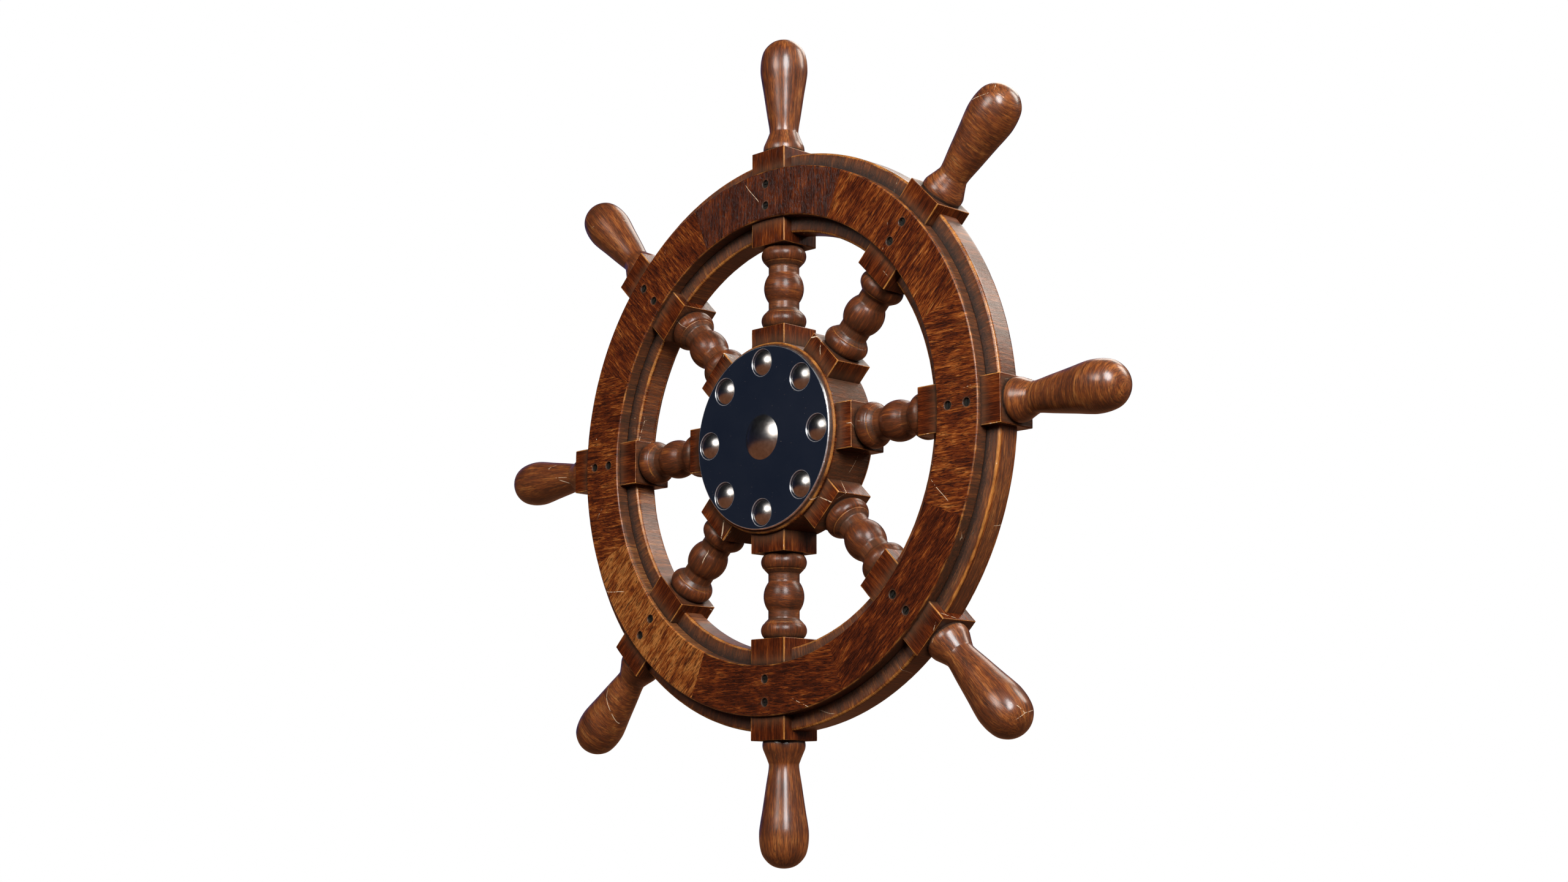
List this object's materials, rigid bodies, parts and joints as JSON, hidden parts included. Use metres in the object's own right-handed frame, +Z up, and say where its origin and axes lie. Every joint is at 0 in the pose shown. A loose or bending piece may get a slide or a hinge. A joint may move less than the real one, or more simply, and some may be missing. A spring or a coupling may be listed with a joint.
{
  "type": "ship steering wheel",
  "caption": "Wooden ship's steering wheel with turned spokes and handles, a layered rim, a plated hub and a keyed shaft in a flanged bearing.",
  "frame": {"origin": "centre of the bearing housing's back face, on the wheel's axis", "axes": "+Z up at rest, +X to the right seen from the front, -Y out of the wheel's front along the shaft axis"},
  "size_m": [0.914, 0.1552, 0.914],
  "materials": {
    "spoke_wood": "satin varnish over dark-streaked reddish brown hardwood",
    "rim_wood": "satin varnish, worn pale on the eased edges",
    "facing_wood": "satin varnish, grain across the ring, worn pale on the edges",
    "nave_wood": "satin varnish",
    "dowel_wood": "bare",
    "dark_screw": "blackened",
    "enamelled_plate": "gloss dark navy enamel, bright worn rim",
    "polished_steel": "polished",
    "shaft_steel": "turned",
    "spring_steel": "blackened",
    "enamelled_casting": "dark navy enamel",
    "bronze": "turned"
  },
  "bodies": {
    "bearing": {"bearing_housing": "enamelled_casting", "bearing_bush": "bronze"},
    "wheel": {"spoke_1": "spoke_wood", "felloe_1": "rim_wood", "front_facing_1": "facing_wood", "rear_facing_1": "facing_wood", "spoke_2": "spoke_wood", "felloe_2": "rim_wood", "front_facing_2": "facing_wood", "rear_facing_2": "facing_wood", "spoke_3": "spoke_wood", "felloe_3": "rim_wood", "front_facing_3": "facing_wood", "rear_facing_3": "facing_wood", "spoke_4": "spoke_wood", "felloe_4": "rim_wood", "front_facing_4": "facing_wood", "rear_facing_4": "facing_wood", "spoke_5": "spoke_wood", "felloe_5": "rim_wood", "front_facing_5": "facing_wood", "rear_facing_5": "facing_wood", "spoke_6": "spoke_wood", "felloe_6": "rim_wood", "front_facing_6": "facing_wood", "rear_facing_6": "facing_wood", "spoke_7": "spoke_wood", "felloe_7": "rim_wood", "front_facing_7": "facing_wood", "rear_facing_7": "facing_wood", "spoke_8": "spoke_wood", "felloe_8": "rim_wood", "front_facing_8": "facing_wood", "rear_facing_8": "facing_wood", "front_screws": "dark_screw", "rear_screws": "dark_screw", "rim_dowels": "dowel_wood", "nave": "nave_wood", "front_plate": "enamelled_plate", "hub_flange": "enamelled_plate", "hub_bolts": "polished_steel", "hub_nuts": "polished_steel", "centre_cap": "polished_steel", "shaft": "shaft_steel", "shaft_key": "shaft_steel", "shaft_washer": "shaft_steel", "shaft_nut": "shaft_steel", "retaining_ring": "spring_steel"}
  },
  "joints": [
    {"name": "wheel_spin", "type": "hinge", "parent": "bearing", "child": "wheel", "pos_m": [0, -0.074, 0], "axis": [0, 1, 0], "continuous": true}
  ]
}
